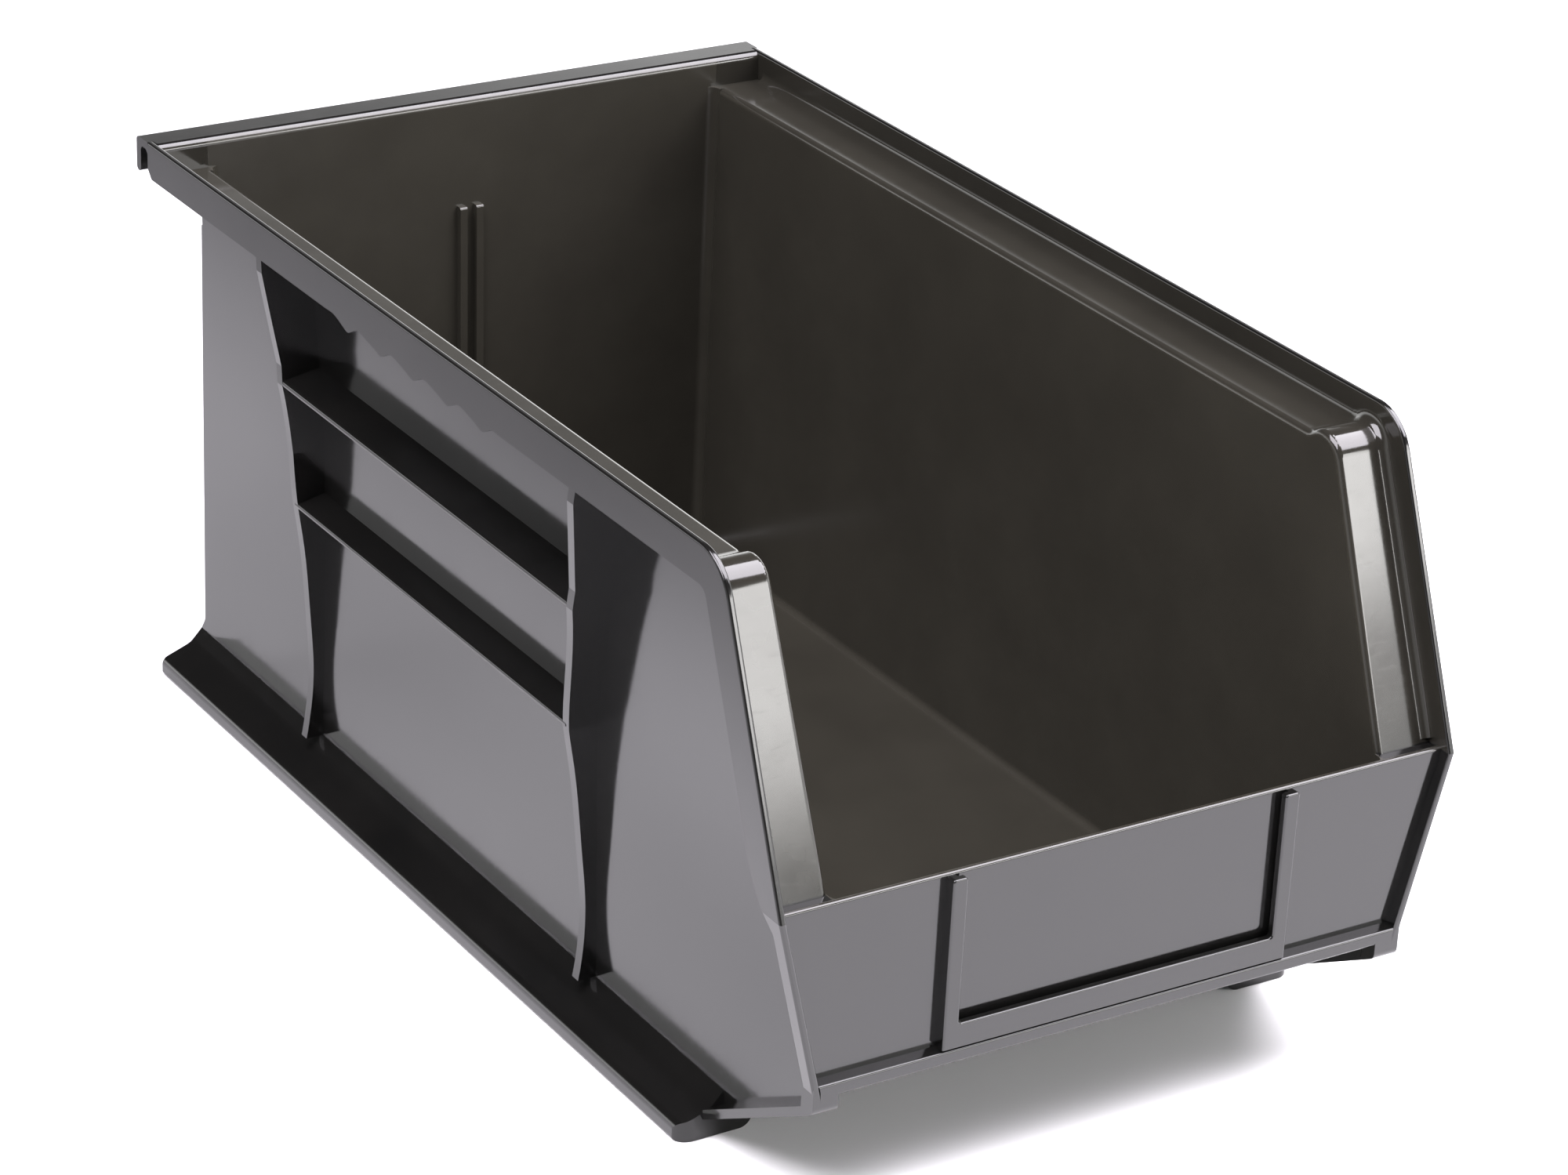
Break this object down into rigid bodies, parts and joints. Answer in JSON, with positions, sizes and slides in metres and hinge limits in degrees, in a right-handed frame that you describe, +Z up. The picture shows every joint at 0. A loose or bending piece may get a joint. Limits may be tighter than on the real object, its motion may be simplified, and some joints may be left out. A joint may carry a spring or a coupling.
{
  "type": "hang-and-stack storage bin",
  "caption": "Open-front plastic storage bin with stacking ledges, a hanging lip, a label frame, outside ribs and a flared stacking foot.",
  "frame": {"origin": "on the floor plane under the middle of the bin, at the centre of its width and length", "axes": "+X to the bin's right as seen by someone facing its front, left is -X; +Y from the open front to the back; +Z up; the front is at -Y"},
  "size_m": [0.2096, 0.3746, 0.1778],
  "materials": {
    "black_plastic": "gloss"
  },
  "bodies": {
    "root": {"back_left_divider_guide": "black_plastic", "back_right_divider_guide": "black_plastic", "back_wall": "black_plastic", "floor_pan": "black_plastic", "front_left_divider_guide": "black_plastic", "front_panel": "black_plastic", "front_right_divider_guide": "black_plastic", "front_sill": "black_plastic", "hang_lip": "black_plastic", "label_holder": "black_plastic", "left_base_skirt": "black_plastic", "left_finger_grip": "black_plastic", "left_front_flange": "black_plastic", "left_front_rib": "black_plastic", "left_lower_shelf": "black_plastic", "left_rear_gusset": "black_plastic", "left_rear_rib": "black_plastic", "left_rim": "black_plastic", "left_side_sill": "black_plastic", "left_upper_shelf": "black_plastic", "left_wall": "black_plastic", "rear_base_skirt": "black_plastic", "right_base_skirt": "black_plastic", "right_finger_grip": "black_plastic", "right_front_flange": "black_plastic", "right_front_rib": "black_plastic", "right_lower_shelf": "black_plastic", "right_rear_gusset": "black_plastic", "right_rear_rib": "black_plastic", "right_rim": "black_plastic", "right_side_sill": "black_plastic", "right_upper_shelf": "black_plastic", "right_wall": "black_plastic"}
  },
  "joints": []
}
